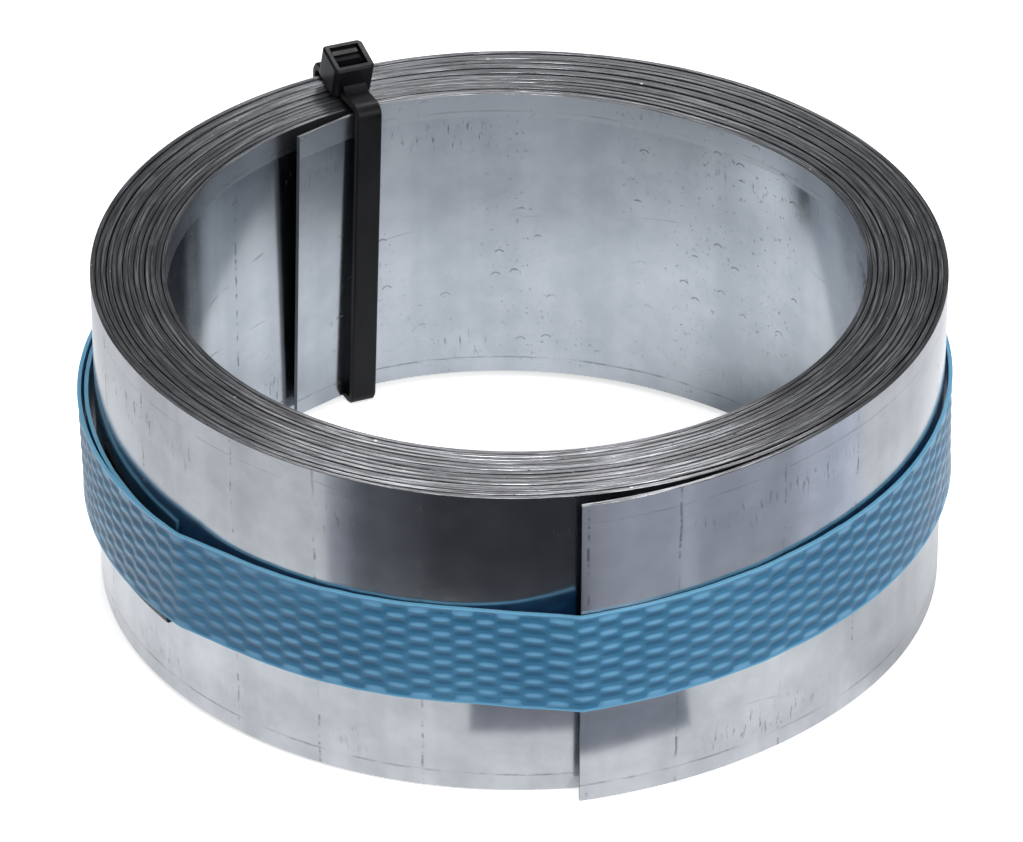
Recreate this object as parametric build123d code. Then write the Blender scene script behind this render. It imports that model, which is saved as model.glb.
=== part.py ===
from build123d import *
from math import acos, atan, atan2, cos, degrees, radians, sin, tan
import os

os.makedirs("parts", exist_ok=True)

# A coil of galvanised steel strip that lies on a level floor. Sizes are millimetres.
# Pieces are shaped about the coil's own axis, with its underside at height 0, and settled on the floor last.
# Azimuths are degrees about that axis: 0 is +X, 90 is +Y (the back), -90 is the front.

# Steel strip and its full turns
strip_width = 60.0
strip_thickness = 0.9
turn_slack = 0.05
full_turns = 14
outer_radius = 74.5
edge_stagger = 0.07
stagger_levels = 7
stagger_stride = 3
level_run = 4

# Outer free end, which springs off the coil at the front
outer_end_azimuth = -82.5
outer_leave_azimuth = -40.0
outer_end_stand_off = 4.0
outer_root_depth = 0.1

# Inner free end, which laps round the bore's wall and stands off it at the back left, most at its top
lap_start_azimuth = -60.0
lap_root_sweep = 15.0
tongue_root_azimuth = 115.0
inner_end_azimuth = 132.7
inner_end_stand_in = 3.3
tongue_lean = 2.0

# Binding strap of embossed plastic
strap_width = 19.0
strap_thickness = 0.7
strap_height = 19.3
strap_tilt = 1.3
strap_inner_end_azimuth = -139.0
strap_outer_end_azimuth = 155.0
strap_climb_azimuth = -128.0
lap_dip_azimuth = -170.0
lap_dip = 3.0
strap_play = 0.35
strap_fold_clearance = 0.3

# Pressed seal round the strap's inner lap
seal_length = 32.0
seal_sheet = 0.4
seal_azimuth = -154.6
seal_play = 0.08
seal_edge_play = 0.06

# Cable tie through the bore
tie_width = 4.8
tie_thickness = 1.3
tie_azimuth = 118.8
tie_slant = 1.3
tie_turn = 4.4
tie_play = 0.35
tie_outer_play = 0.5
tie_bend_radius = 1.2
tie_edge_bevel = 0.3
head_width = 7.7
head_length = 7.3
head_height = 6.2
head_pitch = 16.4
head_inset = 2.5
head_round = 1.0
head_edge_bevel = 0.35
head_wall = 1.05
recess_depth = 1.5
slot_length = 2.2
slot_depth = 2.0
pawl_height = 0.9
pawl_step = 0.45
pawl_play = 0.4
root_width = 4.4
root_length = 2.6
root_rise = 1.1
lip_length = 1.1

turn_pitch = strip_thickness + turn_slack
bore_radius = outer_radius - full_turns * turn_pitch
lap_swell = turn_pitch / 2
coil_top = strip_width + edge_stagger * (stagger_levels - 1)
strap_seat = outer_radius + strap_play + seal_sheet + seal_play
strap_lap_seat = strap_seat + strap_thickness + seal_sheet + 2 * seal_play
strap_middle = strap_height + strap_width / 2


def polar(radius, azimuth, centre=(0.0, 0.0)):
    """Point at a radius and azimuth from a centre, in plan."""
    return (centre[0] + radius * cos(radians(azimuth)), centre[1] + radius * sin(radians(azimuth)))


def leaving_arc(start_radius, start_azimuth, end_radius, end_azimuth):
    """Centre and radius of the arc that leaves a circle about the axis tangentially and ends further out."""
    reach = end_radius * cos(radians(start_azimuth - end_azimuth))
    spread = (end_radius**2 - start_radius**2) / (2 * (start_radius - reach))
    return polar(spread, start_azimuth + 180), start_radius + spread


def angle_from(centre, point):
    """Azimuth of a point as seen from an arc's centre."""
    return degrees(atan2(point[1] - centre[1], point[0] - centre[0]))


def tongue_line():
    """Inner face of the strip's flat inner end at its top, from its root on the lap to its tip."""
    root = polar(bore_radius - lap_swell, tongue_root_azimuth, polar(lap_swell, lap_start_azimuth))
    tip = polar(bore_radius - inner_end_stand_in, inner_end_azimuth)
    return Vector(*root), Vector(*tip)


def tongue_outward():
    """Level direction from the tongue toward the bore's wall behind it."""
    root, tip = tongue_line()
    along = (root - tip).normalized()
    return Vector(-along.Y, along.X)


def wound_turns():
    """All full turns as one turned solid: each as wide as the strip, and most a little up or down."""
    section = Sketch()
    for turn in range(full_turns):
        step = turn - turn // level_run
        level = edge_stagger * (step * stagger_stride % stagger_levels)
        middle = bore_radius + (turn + 0.5) * turn_pitch
        section += Pos(middle, level + strip_width / 2) * Rectangle(turn_pitch, strip_width)
    return revolve(Plane.XZ * section, Axis.Z, 360)


def arc_band(centre, inner_radius, thickness, start, end):
    """Plan of a strip bent to an arc: its inner radius, its thickness and its first and last azimuth."""
    outer = CenterArc(centre, inner_radius + thickness, start, end - start)
    if inner_radius == 0:
        return make_face([outer, Line(outer @ 1, centre), Line(centre, outer @ 0)])
    inner = CenterArc(centre, inner_radius, start, end - start)
    return make_face([inner, Line(inner @ 1, outer @ 1), outer, Line(outer @ 0, inner @ 0)])


def straight_band(start, end, thickness):
    """Plan of a flat stretch of strip, with its thickness to the left of the way from start to end."""
    along = (Vector(*end) - Vector(*start)).normalized()
    thick = Vector(-along.Y, along.X) * thickness
    return make_face(Polyline(start, end, Vector(*end) + thick, Vector(*start) + thick, close=True))


def outer_free_end():
    """Last stretch of strip: an arc of larger radius than the coil, cut square at its tip."""
    tip_radius = outer_radius + outer_end_stand_off
    root_radius = outer_radius - outer_root_depth
    centre, arc_radius = leaving_arc(root_radius, outer_leave_azimuth, tip_radius, outer_end_azimuth)
    start = angle_from(centre, polar(tip_radius, outer_end_azimuth))
    plan = arc_band(centre, arc_radius - strip_thickness, strip_thickness, start, outer_leave_azimuth)
    return extrude(plan, strip_width)


def leaning_in(plan):
    """Stretch of strip from its plan at the top edge, with its foot further out by the tongue's lean."""
    down = tongue_outward() * tongue_lean - Vector(0, 0, strip_width)
    return Pos(0, 0, strip_width) * extrude(plan, down.length, dir=down)


def inner_free_end():
    """First stretch of strip: a lap that thickens the bore's wall, then a flat tongue to its tip."""
    backing = Circle(bore_radius + turn_pitch / 2)
    lap_bore = Pos(*polar(lap_swell, lap_start_azimuth)) * Circle(bore_radius - lap_swell)
    lap = backing - lap_bore
    lap &= arc_band((0, 0), 0.0, 2 * bore_radius, lap_start_azimuth + lap_root_sweep, inner_end_azimuth)
    root, tip = tongue_line()
    along = (root - tip).normalized()
    behind = straight_band(tip - along * bore_radius, root + along * bore_radius, bore_radius)
    tongue = straight_band(tip, root + along * strip_thickness, strip_thickness)
    strip = extrude(lap, strip_width) - leaning_in(behind) + leaning_in(tongue)
    return Pos(0, 0, edge_stagger) * strip


def steel_strip_coil():
    return wound_turns() + outer_free_end() + inner_free_end()


def strap_level():
    """Place of the strap's middle plane: part way up the coil, and a little lower at the left."""
    return Pos(0, 0, strap_middle) * Rot(0, -strap_tilt, 0)


def dipping_band(inner_radius, thickness, width, start, end):
    """Band bent to the coil's curve between two azimuths, sinking toward the front from the dip's azimuth."""
    column = extrude(arc_band((0, 0), inner_radius, thickness, start, end), strap_width, both=True)
    layer = Box(3 * outer_radius, 3 * outer_radius, width * cos(radians(lap_dip)))
    return column & Rot(0, 0, lap_dip_azimuth) * Rot(-lap_dip, 0, 0) * layer


def binding_strap():
    """Strap drawn round the coil and over its outer end, with its two ends lapped at the left."""
    tip_radius = outer_radius + outer_end_stand_off + strap_fold_clearance
    fold = polar(tip_radius, outer_end_azimuth)
    centre, arc_radius = leaving_arc(strap_seat, outer_leave_azimuth, tip_radius, outer_end_azimuth)
    over_end = angle_from(centre, fold)
    touch = outer_end_azimuth - degrees(acos(strap_seat / tip_radius))
    climbed = strap_climb_azimuth - degrees(acos(strap_seat / strap_lap_seat))
    crest = polar(strap_lap_seat, climbed)
    plan = arc_band((0, 0), strap_seat, strap_thickness, outer_leave_azimuth, lap_dip_azimuth + 360)
    plan += arc_band(centre, arc_radius, strap_thickness, over_end, outer_leave_azimuth)
    plan += arc_band(fold, 0.0, strap_thickness, touch, over_end)
    plan += straight_band(fold, polar(strap_seat, touch), strap_thickness)
    plan += arc_band((0, 0), strap_seat, strap_thickness, strap_climb_azimuth, touch)
    plan += straight_band(polar(strap_seat, strap_climb_azimuth), crest, strap_thickness)
    plan += arc_band(crest, 0.0, strap_thickness, climbed, strap_climb_azimuth)
    plan += arc_band((0, 0), strap_lap_seat, strap_thickness, strap_outer_end_azimuth - 360, climbed)
    strap = Pos(0, 0, -strap_width / 2) * extrude(plan, strap_width)
    strap += dipping_band(strap_seat, strap_thickness, strap_width, lap_dip_azimuth, strap_inner_end_azimuth)
    return strap_level() * strap


def strap_seal():
    """Sheet-steel sleeve pressed round the strap's inner lap, which it follows down."""
    half_sweep = degrees(seal_length / 2 / strap_seat)
    start, end = seal_azimuth - half_sweep, seal_azimuth + half_sweep
    hollow_radius = strap_seat - seal_play
    hollow_depth = strap_thickness + 2 * seal_play
    hollow_width = strap_width + 2 * seal_edge_play
    sleeve_radius = hollow_radius - seal_sheet
    sleeve_width = hollow_width + 2 * seal_sheet
    sleeve = dipping_band(sleeve_radius, hollow_depth + 2 * seal_sheet, sleeve_width, start, end)
    sleeve -= dipping_band(hollow_radius, hollow_depth, hollow_width, start - half_sweep, end + half_sweep)
    return strap_level() * sleeve


def tie_bearing():
    """Radii, at the tie's azimuth, of the run inside the bore: at its top on the tongue, at its foot on the lap."""
    outward = tongue_outward()
    across = Vector(*polar(1, tie_azimuth - tie_turn + 90))
    half = tie_width / 2 + strip_width / 2 * tan(radians(tie_slant))
    depth = tongue_line()[0].dot(outward) - half * abs(across.dot(outward)) - tie_play
    top = depth / Vector(*polar(1, tie_azimuth)).dot(outward)
    foot = bore_radius - 2 * lap_swell - half * sin(radians(tie_turn)) - tie_play
    return top, min(foot, top + tongue_lean)


def tie_crossings():
    """Radius of the tie's outer run, and heights of its two crossings, all at its inner faces."""
    return strap_seat + strap_thickness + tie_outer_play, -tie_play, coil_top + tie_play


def tie_loop():
    """The tie's strap, closed round the coil's section in one upright plane, with its edges bevelled."""
    top, foot = tie_bearing()
    far, low, high = tie_crossings()
    corners = Plane.YZ * make_face(Polyline((top, high), (far, high), (far, low), (foot, low), close=True))
    inside = fillet(corners.vertices(), tie_bend_radius)
    outside = offset(inside, tie_thickness)
    loop = extrude(outside - inside, tie_width / 2, both=True)
    sides = loop.faces().sort_by(Axis.X)
    edges = sides[0].outer_wire().edges() + sides[-1].outer_wire().edges()
    return chamfer(edges, tie_edge_bevel)


def tie_head():
    """The tie's head, with its front bottom edge at the origin: a rimmed recess, the slot and the pawl."""
    head = Pos(0, head_length / 2, head_height / 2) * Box(head_width, head_length, head_height)
    head = fillet(head.edges().filter_by(Axis.Z), head_round)
    head = chamfer(head.faces().sort_by(Axis.Z)[-1].edges(), head_edge_bevel)
    recess_width = head_width - 2 * head_wall
    recess_length = head_length - 2 * head_wall
    floor = head_height - recess_depth
    head -= Pos(0, head_length / 2, floor + recess_depth / 2) * Box(recess_width, recess_length, recess_depth)
    slot = Box(recess_width, slot_length, slot_depth)
    head -= Pos(0, head_wall + slot_length / 2, floor - slot_depth / 2) * slot
    front = head_wall + slot_length
    back = head_length - head_wall
    middle = (front + back) / 2
    top = floor + pawl_height
    step = (middle, top - pawl_step)
    pawl = Polyline((front, floor), (back, floor), (back, top), (middle, top), step, (front, top), close=True)
    return head + extrude(Plane.YZ * make_face(pawl), recess_width / 2 - pawl_play, both=True)


def tie_root(front, seat):
    """Thick root of the tie's strap at the head's front: a lip, and a hollow curve down to the strap."""
    top = seat + tie_thickness
    lip = (front - lip_length, top + root_rise)
    toe = (front - root_length, top)
    back = front + head_wall
    hollow = RadiusArc(lip, toe, root_length)
    outline = [hollow, Polyline(toe, (toe[0], seat), (back, seat), (back, lip[1]), lip)]
    return extrude(Plane.YZ * make_face(outline), root_width / 2, both=True)


def cable_tie():
    """One moulding: a loop round the coil's section, and the head on top, tipped up at its outer end."""
    far, low, high = tie_crossings()
    front = outer_radius - head_inset - head_length * cos(radians(head_pitch))
    tie = tie_loop() + tie_root(front, high) + Pos(0, front, high) * Rot(head_pitch, 0, 0) * tie_head()
    pivot = Pos(0, tie_bearing()[0], (low + high) / 2)
    turned = pivot * Rot(0, tie_slant, 0) * Rot(0, 0, -tie_turn) * pivot.inverse() * tie
    return Rot(0, 0, tie_azimuth - 90) * turned


pieces = {
    "steel_strip_coil": steel_strip_coil(),
    "binding_strap": binding_strap(),
    "strap_seal": strap_seal(),
    "cable_tie": cable_tie(),
}

# The coil rests on the tie's crossing under it and, opposite, on its own bottom edge, so it leans a little.
prop = tie_bearing()[1] + tie_bend_radius
lean = degrees(atan((tie_thickness + tie_play) / (outer_radius + prop)))
lean_axis = Axis((0, 0, 0), (*polar(1, tie_azimuth - 90), 0))
leaning = {name: piece.rotate(lean_axis, lean) for name, piece in pieces.items()}
floor = min(piece.bounding_box().min.Z for piece in leaning.values())
for name, piece in leaning.items():
    export_step(Pos(0, 0, -floor) * piece, f"parts/{name}.step")
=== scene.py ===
import math

import bmesh
import bpy
from mathutils import Matrix, Vector, noise


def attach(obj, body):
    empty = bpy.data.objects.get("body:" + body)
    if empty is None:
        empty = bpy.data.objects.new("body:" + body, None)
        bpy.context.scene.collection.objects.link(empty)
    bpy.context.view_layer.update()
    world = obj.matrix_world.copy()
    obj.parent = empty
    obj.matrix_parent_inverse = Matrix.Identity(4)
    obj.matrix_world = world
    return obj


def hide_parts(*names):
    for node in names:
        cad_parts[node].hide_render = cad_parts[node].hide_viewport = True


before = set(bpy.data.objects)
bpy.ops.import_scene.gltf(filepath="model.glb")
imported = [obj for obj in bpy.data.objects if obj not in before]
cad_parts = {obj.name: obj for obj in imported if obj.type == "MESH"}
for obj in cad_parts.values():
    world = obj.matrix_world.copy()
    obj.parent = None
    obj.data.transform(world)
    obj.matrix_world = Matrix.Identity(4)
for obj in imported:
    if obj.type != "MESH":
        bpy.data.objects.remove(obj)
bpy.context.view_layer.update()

# Where the coil lies: on the floor, one side raised a little because the cable tie's crossing is under it.
# Every length below is in metres and every azimuth in degrees about the coil's axis, with -90 at the front.
mm = 0.001
coil_radius = 74.5 * mm
tie_azimuth = 118.8
lean = 0.6984
settle_rise = 0.9549 * mm
lean_axis = Vector((math.cos(math.radians(tie_azimuth - 90)), math.sin(math.radians(tie_azimuth - 90)), 0))
settled = Matrix.Translation((0, 0, settle_rise)) @ Matrix.Rotation(math.radians(lean), 4, lean_axis)

# The camera: a long lens more than a metre away, which looks down on the coil at 32 degrees.
# It is placed about the coil's own axis and takes the coil's lean with it.
camera_distance = 1162.9 * mm
camera_elevation = math.radians(32.26)
camera_yaw = math.radians(-0.08)
camera_pitch = math.radians(32.38)
camera_roll = math.radians(-0.04)
strip_width = 60 * mm
sensor_width = 36.0
picture_width = 1023
focal_pixels = 6609

ahead = Vector((
    math.sin(camera_yaw) * math.cos(camera_pitch),
    math.cos(camera_yaw) * math.cos(camera_pitch),
    -math.sin(camera_pitch),
))
level_right = Vector((math.cos(camera_yaw), -math.sin(camera_yaw), 0))
level_up = level_right.cross(ahead)
right = math.cos(camera_roll) * level_right + math.sin(camera_roll) * level_up
up = math.cos(camera_roll) * level_up - math.sin(camera_roll) * level_right
stand = Vector((
    0,
    -camera_distance * math.cos(camera_elevation),
    camera_distance * math.sin(camera_elevation) + strip_width / 2,
))
camera = bpy.data.objects.new("camera", bpy.data.cameras.new("camera"))
camera.data.sensor_fit = "HORIZONTAL"
camera.data.sensor_width = sensor_width
camera.data.lens = focal_pixels / picture_width * sensor_width
camera.data.clip_start = 0.05
camera.data.clip_end = 20
turned = Matrix((right, up, -ahead)).transposed().to_4x4()
camera.matrix_world = settled @ Matrix.Translation(stand) @ turned
bpy.context.scene.collection.objects.link(camera)
bpy.context.scene.camera = camera

# The coil: one long strip of galvanised steel, rolled, slit to width and wound up clockwise from inside.
# Its faces are bright zinc and its slit edges bare steel. The turns sit unevenly, looser at the back, and
# both ends spring away: the inner one as a flat tongue at the back left, the outer one as a flap in front.
strip_thickness = 0.82 * mm
edge_break = 0.07 * mm
turn_pitch = 0.95 * mm
inner_tip = 132.7
full_turns = 14
outer_tip = -82.5
whole_sweep = 360 * full_turns + inner_tip - outer_tip
stations_per_turn = 180
spiral_start = 60.19 * mm
off_centre = 0.24 * mm
turn_wander = 0.06 * mm
wander_sweep = 130
back_slack = 2.85 * mm
slack_azimuth = 62.0
slack_reach_left = 55.0
slack_reach_right = 44.0
back_lean = 1.5 * mm
lean_azimuth = 85.0
lean_reach = 120.0
tongue_facing = 131.1
tongue_depth = 57.88 * mm
tongue_lean = 2.4 * mm
tongue_sweep = 30.0
flap_sweep = 42.5
flap_stand_off = 3.57 * mm
flap_tilt = 1.2 * mm
flare_azimuth = -95.0
flare_reach = 60.0
flare_at_bore = 0.7 * mm
flare_outside = 2.0 * mm
level_middle = 0.21 * mm
level_swing = 0.34 * mm
slow_sweep = 210
quick_sweep = 31
quick_share = 0.12
merge_distance = 0.0005 * mm
inside_shift = 1.5 * strip_width
edge_shift = 3 * strip_width
zinc_outside = (0.355, 0.37, 0.39, 1), (0.465, 0.48, 0.505, 1)
# The bore's zinc is bluer and lighter than the outer zinc: a painted reflection tint of the shaded floor in
# the bore.
zinc_inside_reflection_tint = (0.37, 0.40, 0.44, 1), (0.47, 0.50, 0.54, 1)
# Zinc for a band below the bore's top edge: partly wear, partly painted reflection.
zinc_wear_and_reflection = (0.58, 0.61, 0.65, 1)
shop_dirt = (0.075, 0.08, 0.09, 1)
slit_steel = (0.105, 0.106, 0.112, 1), (0.74, 0.745, 0.78, 1)
slit_nick = (0.03, 0.03, 0.033, 1)
slit_dust = (0.62, 0.60, 0.57, 1)


def fading(distance, reach):
    """1 at no distance, falling smoothly to 0 at the reach and beyond."""
    return math.cos(math.radians(90 * min(1.0, abs(distance) / reach))) ** 2


def near_azimuth(azimuth, centre):
    """Distance in degrees from a centre azimuth, between -180 and 180."""
    return (azimuth - centre + 180) % 360 - 180


def wound_radius(sweep, share):
    """Inner face of the strip at a sweep from its tip and a share of its height, without flare or spring."""
    azimuth = inner_tip - sweep
    radius = spiral_start + turn_pitch * sweep / 360 - off_centre * math.cos(math.radians(azimuth))
    wander = 2 * noise.noise(Vector((sweep / wander_sweep, 3.7, 0.4)))
    radius += turn_wander * max(-1.0, min(1.0, wander))
    past = near_azimuth(azimuth, slack_azimuth)
    if past > 0:
        drawn_in = math.cos(math.radians(90 * min(1.0, past / slack_reach_left)))
    else:
        drawn_in = fading(past, slack_reach_right)
    leaning = back_lean * (1 - share) * fading(near_azimuth(azimuth, lean_azimuth), lean_reach)
    radius += (leaning - back_slack * drawn_in) * (1 - sweep / whole_sweep)
    if sweep > tongue_sweep:
        return radius
    tongue = (tongue_depth + tongue_lean * (1 - share)) / math.cos(math.radians(azimuth - tongue_facing))
    return min(radius, tongue)


def edge_level(sweep):
    """How far a turn stands up out of the coil's end."""
    slow = noise.noise(Vector((sweep / slow_sweep, 8.2, 5.1)))
    quick = noise.noise(Vector((sweep / quick_sweep, 1.2, 9.4)))
    return level_middle + level_swing * slow + quick_share * level_swing * quick


def strip_offset(sweep, height):
    """What flare and spring-off add to the radius at a height on the strip."""
    share = height / strip_width
    sprung = max(0.0, 1 - (whole_sweep - sweep) / flap_sweep)
    flare = flare_at_bore + (flare_outside - flare_at_bore) * sweep / whole_sweep
    flare *= fading(near_azimuth(inner_tip - sweep, flare_azimuth), flare_reach) * (1 - sprung) * share
    return flare + sprung**2 * (flap_stand_off + flap_tilt * (share - 0.5))


def flat_strip(build, length_steps, section_steps):
    """A flat grid to be wound up: each vertex keeps its station along the strip and its section corner."""
    station_of = build.verts.layers.int.new("station")
    corner_of = build.verts.layers.int.new("corner")
    bmesh.ops.create_grid(build, x_segments=length_steps, y_segments=section_steps, size=1.0)
    for vert in build.verts:
        vert[station_of] = round((vert.co.x + 1) / 2 * length_steps)
        vert[corner_of] = round((vert.co.y + 1) / 2 * section_steps) % section_steps
    return station_of, corner_of


def finished_piece(build, name, cut_end=0):
    """Close the wound grid along its seam and at its two ends, and make it an object."""
    bmesh.ops.remove_doubles(build, verts=build.verts, dist=merge_distance)
    ends = [edge for edge in build.edges if edge.is_boundary]
    bmesh.ops.edgeloop_fill(build, edges=ends, mat_nr=cut_end)
    bmesh.ops.recalc_face_normals(build, faces=build.faces)
    mesh = bpy.data.meshes.new(name)
    build.to_mesh(mesh)
    build.free()
    piece = bpy.data.objects.new(name, mesh)
    bpy.context.scene.collection.objects.link(piece)
    return piece


def wind_strip(name):
    """Wind a flat strip up station by station, with its slit edges broken a little."""
    build = bmesh.new()
    t, w, e = strip_thickness, strip_width, edge_break
    section = [(0, e), (0, w - e), (e, w), (t - e, w), (t, w - e), (t, e), (t - e, 0), (e, 0)]
    stations = round(whole_sweep / 360 * stations_per_turn)
    station_of, corner_of = flat_strip(build, stations, len(section))
    step = whole_sweep / stations
    lengths = [0.0]
    for station in range(stations):
        lengths.append(lengths[-1] + wound_radius(station * step, 0.5) * math.radians(step))
    for vert in build.verts:
        sweep = vert[station_of] * step
        depth, height = section[vert[corner_of]]
        azimuth = math.radians(inner_tip - sweep)
        radius = wound_radius(sweep, height / strip_width) + depth + strip_offset(sweep, height)
        height += edge_level(sweep)
        vert.co = settled @ Vector((radius * math.cos(azimuth), radius * math.sin(azimuth), height))
    uv_layer = build.loops.layers.uv.new("along_strip")
    for face in build.faces:
        corners = {vert[corner_of] for vert in face.verts}
        inside = corners == {0, 1}
        wall = inside or corners == {4, 5}
        face.smooth = True
        face.material_index = 0 if wall else 1
        for loop in face.loops:
            depth, height = section[loop.vert[corner_of]]
            across = height + (inside_shift if inside else 0) if wall else edge_shift + depth
            loop[uv_layer].uv = (lengths[loop.vert[station_of]], across)
    for edge in build.edges:
        edge.smooth = edge.verts[0][corner_of] != edge.verts[1][corner_of]
    return finished_piece(build, name, cut_end=1)


def add_node(tree, kind, inputs=(), **settings):
    """A node with its settings, and its inputs given as numbers or as other nodes' outputs."""
    node = tree.nodes.new(kind)
    for key, value in settings.items():
        setattr(node, key, value)
    for key, value in dict(inputs).items():
        if isinstance(value, bpy.types.NodeSocket):
            tree.links.new(value, node.inputs[key])
        else:
            node.inputs[key].default_value = value
    return node


def maths(tree, operation, *values):
    """One number worked out from others."""
    return add_node(tree, "ShaderNodeMath", dict(enumerate(values)), operation=operation).outputs[0]


def product(tree, *values):
    """All the masks multiplied together."""
    result = values[0]
    for value in values[1:]:
        result = maths(tree, "MULTIPLY", result, value)
    return result


def strongest(tree, *values):
    """The strongest of several masks."""
    result = values[0]
    for value in values[1:]:
        result = maths(tree, "MAXIMUM", result, value)
    return result


def ramp(tree, value, low, high, start=0.0, end=1.0):
    """A number that goes smoothly from start to end while the value goes from low to high."""
    inputs = {"Value": value, "From Min": low, "From Max": high, "To Min": start, "To Max": end}
    return add_node(tree, "ShaderNodeMapRange", inputs, interpolation_type="SMOOTHSTEP").outputs[0]


def band(tree, value, middle, core, rim):
    """1 within the core distance of a middle value, falling to 0 at the rim distance."""
    return ramp(tree, maths(tree, "ABSOLUTE", maths(tree, "SUBTRACT", value, middle)), core, rim, 1, 0)


def stretched_noise(tree, place, stretch, detail=2.0, roughness=0.5, move=(0, 0, 0)):
    """Noise between 0 and 1 on a place, finer along the directions that are stretched more."""
    spread = add_node(tree, "ShaderNodeMapping", {"Vector": place, "Scale": stretch, "Location": move})
    inputs = {"Vector": spread.outputs[0], "Scale": 1.0, "Detail": detail, "Roughness": roughness}
    return add_node(tree, "ShaderNodeTexNoise", inputs).outputs["Fac"]


def mixed(tree, share, first, second):
    """A colour between two others."""
    inputs = {0: share, 6: first, 7: second}
    return add_node(tree, "ShaderNodeMix", inputs, data_type="RGBA").outputs[2]


def new_material(name):
    """An empty material with its shader, ready for its sockets to be fed."""
    material = bpy.data.materials.new(name)
    material.use_nodes = True
    tree = material.node_tree
    return material, tree, tree.nodes["Principled BSDF"]


def bump(tree, shader, height, strength, distance):
    """Relief too fine to model, fed to the shader's normal."""
    inputs = {"Height": height, "Strength": strength, "Distance": distance}
    tree.links.new(add_node(tree, "ShaderNodeBump", inputs).outputs[0], shader.inputs["Normal"])


def make_dust_group():
    """Shop dust: sparse pale flecks of uneven size, as a mask on any surface."""
    group = bpy.data.node_groups.new("shop_dust", "ShaderNodeTree")
    group.interface.new_socket("Place", in_out="INPUT", socket_type="NodeSocketVector")
    group.interface.new_socket("Flecks per metre", in_out="INPUT", socket_type="NodeSocketFloat")
    group.interface.new_socket("Fleck size", in_out="INPUT", socket_type="NodeSocketFloat")
    group.interface.new_socket("Mask", in_out="OUTPUT", socket_type="NodeSocketFloat")
    given = add_node(group, "NodeGroupInput")
    inputs = {"Vector": given.outputs[0], "Scale": given.outputs[1], "Randomness": 1.0}
    cell = add_node(group, "ShaderNodeTexVoronoi", inputs)
    chance = add_node(group, "ShaderNodeSeparateColor", {0: cell.outputs["Color"]}).outputs[2]
    size = product(group, given.outputs[2], ramp(group, chance, 0.86, 1.0))
    speck = maths(group, "LESS_THAN", cell.outputs["Distance"], size)
    add_node(group, "NodeGroupOutput", {0: speck})
    return group


dust_group = make_dust_group()


def dust(tree, place, per_metre, size):
    """The dust group placed in a material, with that material's own values."""
    inputs = {"Place": place, "Flecks per metre": per_metre, "Fleck size": size}
    return add_node(tree, "ShaderNodeGroup", inputs, node_tree=dust_group).outputs[0]


def upright_lines(tree, place, per_metre, half_width, share, seed):
    """Thin broken lines across the strip, at uneven places along it; only a share of the places has one."""
    parts = add_node(tree, "ShaderNodeSeparateXYZ", {0: place})
    waver = stretched_noise(tree, place, (20, 130, 1), detail=1, move=(seed, 0, 0))
    along = maths(tree, "ADD", maths(tree, "MULTIPLY", parts.outputs[0], per_metre), seed)
    along = maths(tree, "ADD", along, maths(tree, "MULTIPLY", waver, 0.9 * mm * per_metre))
    inputs = {"W": along, "Scale": 1.0, "Randomness": 0.9}
    cell = add_node(tree, "ShaderNodeTexVoronoi", inputs, voronoi_dimensions="1D")
    chance = add_node(tree, "ShaderNodeSeparateColor", {0: cell.outputs["Color"]}).outputs[0]
    thickness = maths(tree, "MULTIPLY", chance, 0.5 * half_width * per_metre)
    line = maths(tree, "SUBTRACT", cell.outputs["Distance"], thickness)
    line = ramp(tree, line, 0.3 * half_width * per_metre, half_width * per_metre, 1, 0)
    return product(tree, line, maths(tree, "LESS_THAN", chance, share))


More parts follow.
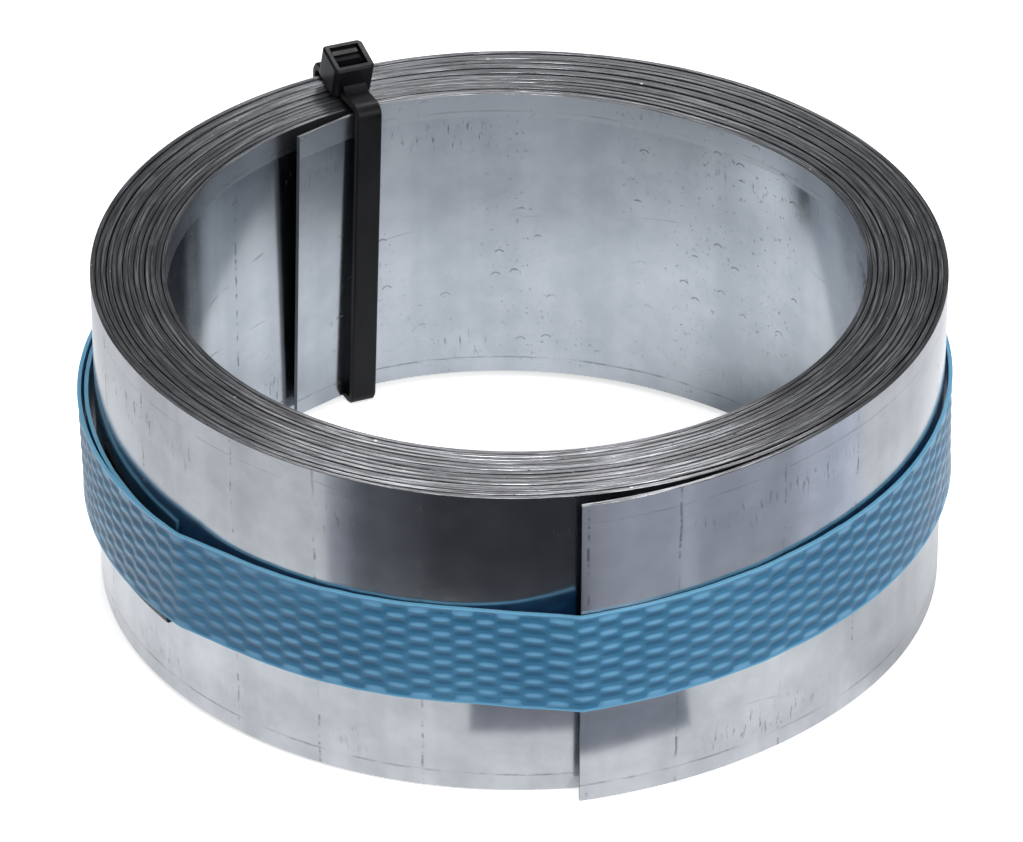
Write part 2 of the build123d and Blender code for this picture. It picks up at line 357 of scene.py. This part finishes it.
def zinc_material():
    material, tree, shader = new_material("bright_zinc")
    place = add_node(tree, "ShaderNodeUVMap", uv_map="along_strip").outputs[0]
    across = add_node(tree, "ShaderNodeSeparateXYZ", {0: place}).outputs[1]
    inside = maths(tree, "GREATER_THAN", across, (inside_shift + strip_width) / 2)
    height = maths(tree, "SUBTRACT", across, maths(tree, "MULTIPLY", inside, inside_shift))

    bands = stretched_noise(tree, place, (75, 2, 1), detail=3)
    mottle = stretched_noise(tree, place, (150, 150, 1), detail=4, roughness=0.6)
    patches = stretched_noise(tree, place, (30, 30, 1), detail=2, move=(0.4, 0.7, 0))

    # Broken upright lines from the rolls, in some patches only.
    dashes = ramp(tree, stretched_noise(tree, place, (90, 330, 1), detail=3, roughness=0.7), 0.46, 0.6)
    marks = upright_lines(tree, place, 55, 0.28 * mm, 0.5, 3.1)
    marks = product(tree, marks, dashes, ramp(tree, patches, 0.36, 0.58))

    # Rubbed lines along the strip, a little in from its two edges.
    torn = ramp(tree, stretched_noise(tree, place, (110, 900, 1), detail=4, roughness=0.7), 0.42, 0.6)
    low_rub = band(tree, height, 3.2 * mm, 0.08 * mm, 0.3 * mm)
    high_rub = product(tree, band(tree, height, strip_width - 3.6 * mm, 0.05 * mm, 0.25 * mm), 0.6)
    rubs = product(tree, strongest(tree, low_rub, high_rub), torn)

    # Long fine scratches.
    scratch = stretched_noise(tree, place, (5, 26, 1), detail=1, move=(3, 5, 0))
    scratch = product(tree, band(tree, scratch, 0.5, 0.0004, 0.0022), ramp(tree, bands, 0.5, 0.62))

    # Small arcs and specks inside the bore, gathered in upright columns.
    cells = add_node(tree, "ShaderNodeMapping", {"Vector": place, "Scale": (210, 210, 1)}).outputs[0]
    spots = add_node(tree, "ShaderNodeTexVoronoi", {"Vector": cells, "Scale": 1.0, "Randomness": 0.75})
    from_spot = {0: cells, 1: spots.outputs["Position"]}
    away = add_node(tree, "ShaderNodeVectorMath", from_spot, operation="SUBTRACT").outputs[0]
    lift = ramp(tree, add_node(tree, "ShaderNodeSeparateXYZ", {0: away}).outputs[1], 0.04, 0.12)
    chance = add_node(tree, "ShaderNodeSeparateColor", {0: spots.outputs["Color"]}).outputs[1]
    arcs = product(tree, band(tree, spots.outputs["Distance"], 0.2, 0.012, 0.045), lift)
    arcs = product(tree, arcs, maths(tree, "LESS_THAN", chance, 0.8), inside)
    columns = ramp(tree, stretched_noise(tree, place, (70, 14, 1), detail=1, move=(0.2, 0.6, 0)), 0.42, 0.58)
    specks = ramp(tree, stretched_noise(tree, place, (1100, 800, 1), detail=2, roughness=0.6), 0.62, 0.7)
    arcs = product(tree, strongest(tree, arcs, product(tree, specks, 0.7, inside)), columns)

    # Short upright strokes of dirt, in a low and a high band.
    strokes = ramp(tree, stretched_noise(tree, place, (1500, 260, 1), detail=3, roughness=0.6), 0.57, 0.68)
    low_band = product(tree, ramp(tree, height, 3 * mm, 5 * mm), ramp(tree, height, 8 * mm, 11 * mm, 1, 0))
    below_top = ramp(tree, height, 53 * mm, 55 * mm, 1, 0)
    high_band = product(tree, ramp(tree, height, 47 * mm, 50 * mm), below_top)
    gathered = ramp(tree, stretched_noise(tree, place, (32, 6, 1), detail=1), 0.47, 0.6)
    smudges = product(tree, strokes, strongest(tree, low_band, high_band), gathered)

    dirt = strongest(
        tree, product(tree, marks, 0.55), product(tree, rubs, 0.5), product(tree, scratch, 0.3),
        product(tree, arcs, 0.5), product(tree, smudges, 0.55)
    )
    # Inside the bore the zinc is lighter in a band below its top edge: partly wear, partly painted
    # reflection.
    top_light_band = product(tree, inside, ramp(tree, height, strip_width - 5.0 * mm, strip_width - 4.5 * mm))
    tone = maths(tree, "ADD", maths(tree, "MULTIPLY", bands, 0.6), maths(tree, "MULTIPLY", mottle, 0.4))
    spread = ramp(tree, tone, 0.35, 0.65)
    # The bore's faces take the bluer, lighter zinc: a painted reflection tint, as both faces are the same
    # zinc.
    zinc = mixed(tree, inside, mixed(tree, spread, *zinc_outside), mixed(tree, spread, *zinc_inside_reflection_tint))
    zinc = mixed(tree, product(tree, top_light_band, 0.45), zinc, zinc_wear_and_reflection)
    tree.links.new(mixed(tree, dirt, zinc, shop_dirt), shader.inputs["Base Color"])
    worn = strongest(tree, dirt, product(tree, top_light_band, 0.4))
    rough = maths(tree, "ADD", 0.13, maths(tree, "MULTIPLY", mottle, 0.07))
    rough = maths(tree, "ADD", rough, maths(tree, "MULTIPLY", worn, 0.3))
    tree.links.new(rough, shader.inputs["Roughness"])
    shader.inputs["Metallic"].default_value = 1.0
    relief = maths(tree, "ADD", bands, maths(tree, "MULTIPLY", mottle, 0.08))
    bump(tree, shader, maths(tree, "SUBTRACT", relief, maths(tree, "MULTIPLY", dirt, 0.3)), 1.0, 0.018 * mm)
    return material


def slit_edge_material():
    material, tree, shader = new_material("slit_steel_edge")
    place = add_node(tree, "ShaderNodeUVMap", uv_map="along_strip").outputs[0]
    streaks = stretched_noise(tree, place, (80, 3000, 1), detail=4, roughness=0.7)
    long_tone = stretched_noise(tree, place, (9, 60, 1), detail=2)
    nicks = stretched_noise(tree, place, (900, 1800, 1), detail=3, roughness=0.7)
    bright = product(tree, ramp(tree, streaks, 0.42, 0.7), ramp(tree, long_tone, 0.3, 0.7, 0.35, 1))
    steel = mixed(tree, bright, *slit_steel)
    steel = mixed(tree, ramp(tree, nicks, 0.62, 0.72), steel, slit_nick)
    steel = mixed(tree, dust(tree, place, 260, 0.07), steel, slit_dust)
    tree.links.new(steel, shader.inputs["Base Color"])
    tree.links.new(ramp(tree, streaks, 0.25, 0.75, 0.40, 0.26), shader.inputs["Roughness"])
    shader.inputs["Metallic"].default_value = 1.0
    shader.inputs["Anisotropic"].default_value = 0.8
    shader.inputs["Anisotropic Rotation"].default_value = 0.25
    relief = maths(tree, "ADD", streaks, maths(tree, "MULTIPLY", nicks, 0.4))
    bump(tree, shader, relief, 0.7, 0.03 * mm)
    return material


coil = wind_strip("wound_strip")
coil.data.materials.append(zinc_material())
coil.data.materials.append(slit_edge_material())
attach(coil, "root")
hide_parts("steel_strip_coil")

# The strap: a flat band of blue plastic, a little translucent, embossed on its outer face with staggered rows
# of long soft bumps so that it grips. It is drawn tight round the coil and over the outer end. Its outer lap
# climbs onto the inner one at the left, and the inner lap sinks a little toward the front.
strap_width = 19 * mm
strap_thickness = 0.7 * mm
strap_middle = 28.8 * mm
strap_tilt = 1.3
strap_seat = 75.33 * mm
lap_seat = 76.59 * mm
strap_start = 217.5
strap_end = -205.0
leave_azimuth = -40.0
fold_azimuth = -82.5
fold_radius = 78.8 * mm
climb_azimuth = -128.0
dip_azimuth = 190.0
lap_dip = 3.0
strap_stations = 1500
strap_rows = 56
emboss_pitch = 3.9 * mm
emboss_rise = 2.82 * mm
emboss_waver = 0.9 * mm
wavers_along = 110
wavers_across = 160
emboss_depth = 0.46 * mm
edge_wave = 0.12 * mm
edge_waves_along = 260
strap_blue = (0.031, 0.134, 0.243, 1), (0.046, 0.172, 0.297, 1)
fibre_blue = (0.09, 0.28, 0.47, 1)
# Painted shade for the relief's hollows and a painted highlight for its crests.
hollow_shade_blue = (0.014, 0.072, 0.145, 1)
crest_highlight_blue = (0.155, 0.37, 0.56, 1)
# A painted highlight for the strap's top edge.
edge_highlight_blue = (0.17, 0.45, 0.66, 1)


def strap_radius(azimuth):
    """Inner face of the strap: on the coil, out over the free end, back again and up onto the inner lap."""
    if azimuth > leave_azimuth:
        return strap_seat
    if azimuth > fold_azimuth:
        reach = fold_radius * math.cos(math.radians(leave_azimuth - fold_azimuth))
        spread = (fold_radius**2 - strap_seat**2) / (2 * (strap_seat - reach))
        arc = strap_seat + spread
        toward = -spread * math.cos(math.radians(azimuth - leave_azimuth))
        return toward + math.sqrt(arc**2 - spread**2 + toward**2)
    touch = fold_azimuth - math.degrees(math.acos(strap_seat / fold_radius))
    if azimuth > touch:
        return strap_seat / math.cos(math.radians(azimuth - touch))
    climbed = climb_azimuth - math.degrees(math.acos(strap_seat / lap_seat))
    return strap_seat / math.cos(math.radians(max(0.0, climb_azimuth - max(azimuth, climbed))))


def emboss_height(along, across):
    """Embossed relief of the strap: 1 on a crest, 0 in a hollow, each column half a row up from the last."""
    waver = noise.noise(Vector((along * wavers_along, across * wavers_across, 2.5)))
    fading_out = noise.noise(Vector((along * 45, across * 70, 6.5)))
    columns = math.cos(math.pi * (along + emboss_waver * waver) / emboss_pitch)
    columns = math.copysign(math.sqrt(abs(columns)), columns)
    rows = math.cos(2 * math.pi * (across + 0.4 * emboss_waver * waver) / emboss_rise)
    return 0.5 + 0.5 * columns * rows * (0.85 + 0.3 * fading_out)


def strap_place(azimuth, radius, height):
    """Place of a point of the strap, whose inner lap sinks toward the front past the dip's azimuth."""
    turn = math.radians(azimuth)
    level = Matrix.Translation((0, 0, strap_middle)) @ Matrix.Rotation(math.radians(-strap_tilt), 4, "Y")
    dip = radius * math.sin(math.radians(max(0.0, azimuth - dip_azimuth))) * math.tan(math.radians(lap_dip))
    return settled @ level @ Vector((radius * math.cos(turn), radius * math.sin(turn), height - dip))


def wind_strap(name):
    """Wind a flat strap up along its path, with the relief embossed in its outer face."""
    build = bmesh.new()
    section = [(0, 0), (0, strap_width)]
    section += [(strap_thickness, strap_width * (1 - row / strap_rows)) for row in range(strap_rows + 1)]
    station_of, corner_of = flat_strip(build, strap_stations, len(section))
    step = (strap_start - strap_end) / strap_stations
    crown_of = build.verts.layers.float.new("crown")
    for vert in build.verts:
        azimuth = strap_start - vert[station_of] * step
        along = math.radians(vert[station_of] * step) * strap_seat
        depth, height = section[vert[corner_of]]
        height -= strap_width / 2
        radius = strap_radius(azimuth) + depth
        vert[crown_of] = 1.0
        if depth:
            margin = max(0.0, 1 - (abs(height) / (strap_width / 2)) ** 14)
            crown = emboss_height(along, height)
            vert[crown_of] = 1 - (1 - crown) * margin
            radius -= emboss_depth * (1 - crown) * margin
        height += edge_wave * noise.noise(Vector((along * edge_waves_along, height * 30, 1.5)))
        vert.co = strap_place(azimuth, radius, height)
    uv_layer = build.loops.layers.uv.new("along_strap")
    for face in build.faces:
        face.smooth = True
        for loop in face.loops:
            along = math.radians(loop.vert[station_of] * step) * strap_seat
            loop[uv_layer].uv = (along, section[loop.vert[corner_of]][1])
    for edge in build.edges:
        corners = {vert[corner_of] for vert in edge.verts}
        edge.smooth = len(corners) > 1 or not corners & {0, 1, 2, len(section) - 1}
    return finished_piece(build, name)


def strap_material():
    material, tree, shader = new_material("blue_strapping_plastic")
    place = add_node(tree, "ShaderNodeUVMap", uv_map="along_strap").outputs[0]
    fibres = stretched_noise(tree, place, (40, 3400, 1), detail=3, roughness=0.6)
    clouds = stretched_noise(tree, place, (45, 90, 1), detail=3)
    blue = mixed(tree, ramp(tree, clouds, 0.3, 0.7), *strap_blue)
    blue = mixed(tree, ramp(tree, fibres, 0.55, 0.8, 0, 0.3), blue, fibre_blue)
    # The relief's hollows get painted shade and its crests a painted highlight, on top of the shading from
    # the relief's own shape.
    crown = add_node(tree, "ShaderNodeAttribute", attribute_name="crown").outputs["Fac"]
    blue = mixed(tree, ramp(tree, crown, 0.1, 0.45, 0.6, 0), blue, hollow_shade_blue)
    blue = mixed(tree, ramp(tree, crown, 0.6, 0.95, 0, 0.75), blue, crest_highlight_blue)
    across = add_node(tree, "ShaderNodeSeparateXYZ", {0: place}).outputs[1]
    # A painted highlight along the strap's top edge.
    top_light_band = ramp(tree, across, strap_width - 0.25 * mm, strap_width - 0.1 * mm)
    blue = mixed(tree, product(tree, top_light_band, 0.6), blue, edge_highlight_blue)
    tree.links.new(blue, shader.inputs["Base Color"])
    tree.links.new(ramp(tree, clouds, 0.3, 0.7, 0.26, 0.36), shader.inputs["Roughness"])
    shader.inputs["Specular IOR Level"].default_value = 0.25
    shader.inputs["Subsurface Weight"].default_value = 0.35
    shader.inputs["Subsurface Radius"].default_value = (0.3, 0.8, 1.0)
    shader.inputs["Subsurface Scale"].default_value = 1.5 * mm
    bump(tree, shader, fibres, 0.35, 0.04 * mm)
    return material


strap = wind_strap("embossed_strap")
strap.data.materials.append(strap_material())
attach(strap, "root")
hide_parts("binding_strap")

# The seal: a strip of thin sheet steel, near black, pressed to a U round the strap's inner lap from below.
# The outer lap hides it, all but its bottom lip and one corner that show under the strap at the left.
seal_first = 193.2
seal_last = 217.6
seal_stations = 60
seal_sheet = 0.4 * mm
seal_play = 0.08 * mm
seal_top = 6.6 * mm
seal_black = (0.012, 0.013, 0.012, 1), (0.03, 0.034, 0.03, 1)
seal_dust = (0.3, 0.31, 0.27, 1)
bare_sheet = (0.22, 0.23, 0.21, 1)


def wind_seal(name):
    """Bend the seal's U-shaped section along the inner lap, which sinks toward the front."""
    build = bmesh.new()
    t, near, far = seal_sheet, -seal_play, strap_thickness + seal_play
    foot = -strap_width / 2 - seal_play
    section = [(near - t, seal_top), (near - t, foot), (near, foot - t), (far, foot - t), (far + t, foot)]
    section += [(far + t, seal_top), (far, seal_top), (far, foot), (near, foot), (near, seal_top)]
    station_of, corner_of = flat_strip(build, seal_stations, len(section))
    for vert in build.verts:
        azimuth = seal_first + (seal_last - seal_first) * vert[station_of] / seal_stations
        depth, height = section[vert[corner_of]]
        vert.co = strap_place(azimuth, strap_seat + depth, height)
    for face in build.faces:
        face.smooth = True
    for edge in build.edges:
        edge.smooth = edge.verts[0][corner_of] != edge.verts[1][corner_of]
    return finished_piece(build, name)


def seal_material():
    material, tree, shader = new_material("near_black_steel")
    place = add_node(tree, "ShaderNodeTexCoord").outputs["Object"]
    flecks = stretched_noise(tree, place, (900, 900, 900), detail=4, roughness=0.7)
    bare = ramp(tree, flecks, 0.66, 0.72)
    paint = mixed(tree, ramp(tree, flecks, 0.4, 0.6), *seal_black)
    paint = mixed(tree, dust(tree, place, 420, 0.1), paint, seal_dust)
    tree.links.new(mixed(tree, bare, paint, bare_sheet), shader.inputs["Base Color"])
    tree.links.new(ramp(tree, flecks, 0.3, 0.7, 0.5, 0.32), shader.inputs["Roughness"])
    tree.links.new(bare, shader.inputs["Metallic"])
    bump(tree, shader, flecks, 0.3, 0.05 * mm)
    return material


seal = wind_seal("pressed_seal")
seal.data.materials.append(seal_material())
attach(seal, "root")
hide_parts("strap_seal")

# The cable tie: black nylon, moulded in one piece, drawn tight through the bore and cut off inside its head.
# Its skin is finely sparked from the mould, a little hazy with handling and dusted with pale flecks.
nylon_black = (0.005, 0.005, 0.006, 1), (0.011, 0.011, 0.0135, 1)
nylon_dust = (0.2, 0.2, 0.21, 1)


def nylon_material():
    material, tree, shader = new_material("black_nylon")
    place = add_node(tree, "ShaderNodeTexCoord").outputs["Object"]
    skin = stretched_noise(tree, place, (1500, 1500, 1500), detail=3)
    haze = stretched_noise(tree, place, (160, 160, 60), detail=4, roughness=0.6)
    black = mixed(tree, ramp(tree, haze, 0.35, 0.7), *nylon_black)
    black = mixed(tree, dust(tree, place, 420, 0.06), black, nylon_dust)
    tree.links.new(black, shader.inputs["Base Color"])
    tree.links.new(ramp(tree, haze, 0.3, 0.7, 0.34, 0.5), shader.inputs["Roughness"])
    shader.inputs["Specular IOR Level"].default_value = 0.17
    bump(tree, shader, skin, 0.25, 0.04 * mm)
    return material


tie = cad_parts["cable_tie"]
tie.data.materials.clear()
tie.data.materials.append(nylon_material())

# The floor: a wide pale table, white to the camera. To the zinc that mirrors it, it glows brighter or darker
# from place
# to place: painted light and shade standing in for the real surroundings. The object's own soft shadow stays
# on it.
floor_reach = 3.0
floor_colour = (0.80, 0.81, 0.83, 1)
camera_glow = 0.68
coil_foot = 68 * mm
floor_build = bmesh.new()
bmesh.ops.create_grid(floor_build, x_segments=1, y_segments=1, size=floor_reach)
floor_mesh = bpy.data.meshes.new("floor")
floor_build.to_mesh(floor_mesh)
floor_build.free()
floor = bpy.data.objects.new("floor", floor_mesh)
bpy.context.scene.collection.objects.link(floor)


def glow_near(tree, place, middle, core, rim, strength):
    """A patch of the floor that looks brighter or darker in the zinc, fading from its core to its rim."""
    away = add_node(tree, "ShaderNodeVectorMath", {0: place, 1: middle}, operation="DISTANCE")
    return ramp(tree, away.outputs["Value"], core, rim, strength, 0)


def floor_material():
    material, tree, shader = new_material("pale_floor")
    shader.inputs["Base Color"].default_value = floor_colour
    shader.inputs["Roughness"].default_value = 0.9
    shader.inputs["Specular IOR Level"].default_value = 0.0
    shader.inputs["Emission Color"].default_value = (1, 1, 1, 1)
    path = add_node(tree, "ShaderNodeLightPath")
    mirrored = strongest(tree, path.outputs["Is Glossy Ray"], path.outputs["Is Transmission Ray"])
    glow = maths(tree, "MULTIPLY", path.outputs["Is Camera Ray"], camera_glow)
    place = add_node(tree, "ShaderNodeTexCoord").outputs["Object"]
    axis_away = add_node(tree, "ShaderNodeVectorMath", {0: place}, operation="LENGTH").outputs["Value"]
    open_floor = ramp(tree, axis_away, 85 * mm, 140 * mm, 0.6, 0.06)
    right_shade = glow_near(tree, place, (84 * mm, -18 * mm, 0), 24 * mm, 40 * mm, 0.45)
    outside = maths(tree, "GREATER_THAN", axis_away, coil_foot)
    inside = maths(tree, "SUBTRACT", 1, outside)
    bore_floor = glow_near(tree, place, (0, 46 * mm, 0), 8 * mm, 52 * mm, 0.61)
    bore_right = glow_near(tree, place, (47 * mm, 38 * mm, 0), 6 * mm, 32 * mm, 0.28)
    bore_left = glow_near(tree, place, (-45 * mm, 34 * mm, 0), 6 * mm, 30 * mm, 0.62)
    bore_floor = strongest(tree, maths(tree, "SUBTRACT", bore_floor, bore_right), bore_left)
    seen = product(tree, outside, maths(tree, "SUBTRACT", open_floor, right_shade))
    seen = strongest(tree, seen, product(tree, inside, bore_floor))
    glow = maths(tree, "ADD", glow, product(tree, mirrored, seen))
    tree.links.new(glow, shader.inputs["Emission Strength"])
    return material


floor.data.materials.append(floor_material())

# The cards: grey and black boards laid in front of the coil, out of the camera's sight, for the zinc to
# mirror. Each is cut along the camera's mirrored lines of sight, so that its ends show as upright edges.
card_tint = (0.95, 0.99, 1.13)
card_lift = 0.4 * mm
card_near = 45 * mm
card_far = 500 * mm
low_card_near = 15 * mm
low_card_far = 44 * mm


def mirrored_place(facing, reach):
    """Place on the floor that the camera sees mirrored, for a facing of the wall and a reach before it."""
    wall = math.radians(facing)
    away = math.radians(2 * facing + 90)
    return Vector((
        coil_radius * math.cos(wall) + reach * math.cos(away),
        coil_radius * math.sin(wall) + reach * math.sin(away),
        card_lift,
    ))


def card(name, first, last, near, far, first_shade, last_shade):
    """A card between two facings of the wall, shaded evenly from the one end to the other."""
    build = bmesh.new()
    bmesh.ops.create_grid(build, x_segments=24, y_segments=1, size=1.0)
    share_of = build.verts.layers.float.new("share")
    for vert in build.verts:
        vert[share_of] = (vert.co.x + 1) / 2
        reach = near + (far - near) * (vert.co.y + 1) / 2
        vert.co = mirrored_place(first + (last - first) * vert[share_of], reach)
    uv_layer = build.loops.layers.uv.new("across_card")
    for face in build.faces:
        for loop in face.loops:
            loop[uv_layer].uv = (loop.vert[share_of], 0)
    mesh = bpy.data.meshes.new(name)
    build.to_mesh(mesh)
    build.free()
    board = bpy.data.objects.new(name, mesh)
    bpy.context.scene.collection.objects.link(board)
    material, tree, shader = new_material(name)
    place = add_node(tree, "ShaderNodeUVMap", uv_map="across_card").outputs[0]
    share = add_node(tree, "ShaderNodeSeparateXYZ", {0: place}).outputs[0]
    ends = [(*(shade * part for part in card_tint), 1) for shade in (first_shade, last_shade)]
    tree.links.new(mixed(tree, share, *ends), shader.inputs["Base Color"])
    shader.inputs["Roughness"].default_value = 0.9
    shader.inputs["Specular IOR Level"].default_value = 0.0
    board.data.materials.append(material)
    board.visible_camera = False
    board.visible_diffuse = False
    board.visible_shadow = False
    board.visible_transmission = False


card("grey_card_left", -116.5, -112.9, card_near, card_far, 0.40, 0.30)
card("black_card_left", -112.9, -100.0, card_near, card_far, 0.17, 0.05)
card("black_card", -100.0, -78.0, card_near, card_far, 0.06, 0.04)
card("grey_card", -78.0, -66.3, card_near, card_far, 0.43, 0.52)
card("pale_card", -66.3, -63.6, card_near, card_far, 0.64, 0.62)
card("grey_card_right", -63.6, -49.0, card_near, card_far, 0.50, 0.46)
card("pale_card_right", -49.0, -38.0, card_near, card_far, 0.66, 0.88)
card("low_card", -96.5, -66.3, low_card_near, low_card_far, 0.44, 0.52)

# The light: a soft lamp above the camera, one to its right for the strap, two high behind for the slit edges,
# and a pale even room. Their places decide where the edges glint: in front and behind, hardly at the sides.
def soft_lamp(name, place, aim, width, depth, power):
    """A soft area lamp at a place, turned to its aim."""
    lamp = bpy.data.lights.new(name, "AREA")
    lamp.shape = "RECTANGLE"
    lamp.size = width
    lamp.size_y = depth
    lamp.energy = power
    holder = bpy.data.objects.new(name, lamp)
    holder.location = place
    holder.rotation_euler = (Vector(aim) - Vector(place)).to_track_quat("-Z", "Y").to_euler()
    bpy.context.scene.collection.objects.link(holder)


soft_lamp("front_lamp", (-0.04, -0.67, 1.06), (0, 0, 0), 0.45, 0.3, 4.4)
soft_lamp("right_lamp", (0.53, -0.85, 0.62), (0, 0, 0.03), 0.35, 0.35, 6.2)
soft_lamp("back_lamp_left", (-0.17, 0.52, 1.0), (0, 0, 0), 0.16, 0.3, 3.2)
soft_lamp("back_lamp_right", (0.17, 0.52, 1.0), (0, 0, 0), 0.16, 0.3, 3.2)
room = bpy.data.worlds.new("pale_room")
room.use_nodes = True
room.node_tree.nodes["Background"].inputs["Color"].default_value = (0.95, 0.98, 1.0, 1)
room.node_tree.nodes["Background"].inputs["Strength"].default_value = 0.29
bpy.context.scene.world = room
bpy.context.scene.view_settings.view_transform = "Standard"
